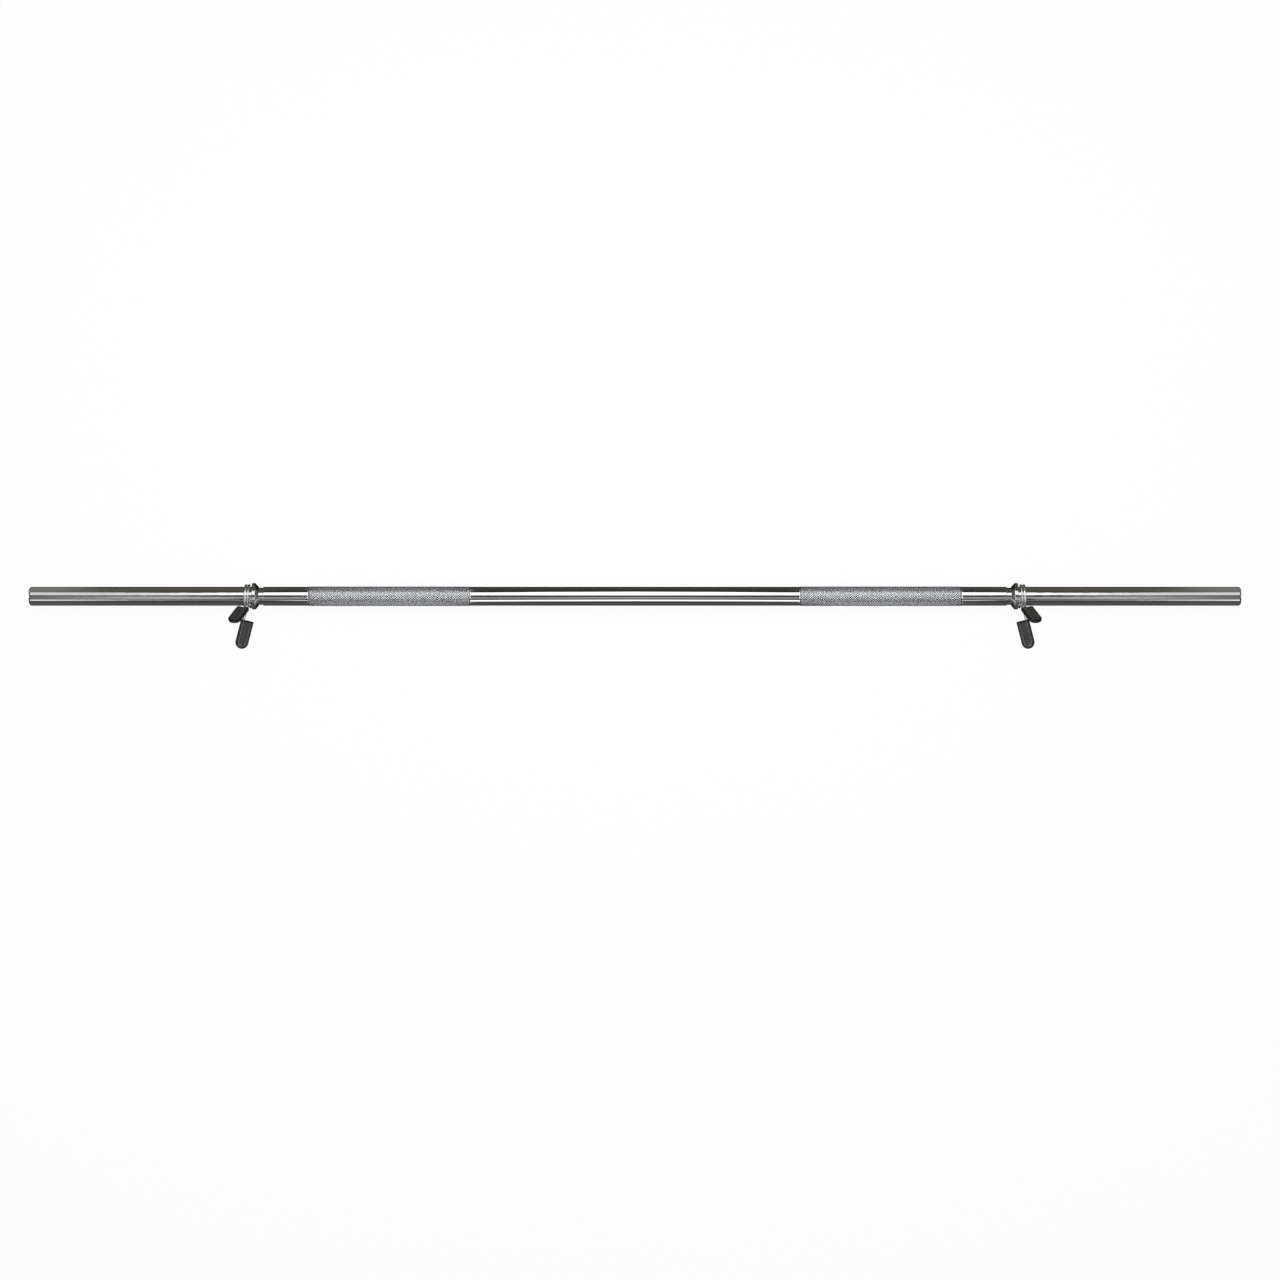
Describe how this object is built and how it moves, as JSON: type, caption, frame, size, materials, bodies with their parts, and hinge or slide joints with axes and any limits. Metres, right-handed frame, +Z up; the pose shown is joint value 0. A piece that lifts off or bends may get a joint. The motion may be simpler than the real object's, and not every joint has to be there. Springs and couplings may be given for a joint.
{
  "type": "standard barbell",
  "caption": "Straight knurled bar with a fixed flanged collar and a sliding spring clip with squeeze grips towards each end.",
  "frame": {"origin": "on the bar's axis, at the middle of its length", "axes": "+X along the bar to its right end, +Y across the bar on the side away from the clips' grips, +Z up; the collars' rims stand on a surface 19.6 mm below the origin"},
  "size_m": [1.8, 0.0977, 0.0889],
  "materials": {
    "chrome": "polished",
    "spring_wire": "polished",
    "vinyl": "satin"
  },
  "bodies": {
    "bar": {"shaft": "chrome", "left_collar": "chrome", "right_collar": "chrome"},
    "left_clip": {"left_coil": "spring_wire"},
    "left_upper_arm": {"left_upper_leg": "spring_wire", "left_upper_grip": "vinyl"},
    "left_lower_arm": {"left_lower_leg": "spring_wire", "left_lower_grip": "vinyl"},
    "right_clip": {"right_coil": "spring_wire"},
    "right_upper_arm": {"right_upper_leg": "spring_wire", "right_upper_grip": "vinyl"},
    "right_lower_arm": {"right_lower_leg": "spring_wire", "right_lower_grip": "vinyl"}
  },
  "joints": [
    {"name": "left_clip_slide", "type": "slide", "parent": "bar", "child": "left_clip", "axis": [-1, 0, 0], "range_m": [0, 0.315]},
    {"name": "left_clip_turn", "type": "hinge", "parent": "left_clip", "child": "left_upper_arm", "pos_m": [-0.575, 0, 0], "axis": [-1, 0, 0], "continuous": true},
    {"name": "left_clip_squeeze", "type": "hinge", "parent": "left_upper_arm", "child": "left_lower_arm", "pos_m": [-0.575, 0, 0], "axis": [-1, 0, 0], "range_deg": [0, 56], "stiffness_Nm_per_rad": 8.5, "deforming": ["left_coil"]},
    {"name": "right_clip_slide", "type": "slide", "parent": "bar", "child": "right_clip", "axis": [1, 0, 0], "range_m": [0, 0.315]},
    {"name": "right_clip_turn", "type": "hinge", "parent": "right_clip", "child": "right_upper_arm", "pos_m": [0.575, 0, 0], "axis": [-1, 0, 0], "continuous": true},
    {"name": "right_clip_squeeze", "type": "hinge", "parent": "right_upper_arm", "child": "right_lower_arm", "pos_m": [0.575, 0, 0], "axis": [-1, 0, 0], "range_deg": [0, 56], "stiffness_Nm_per_rad": 8.5, "deforming": ["right_coil"]}
  ]
}
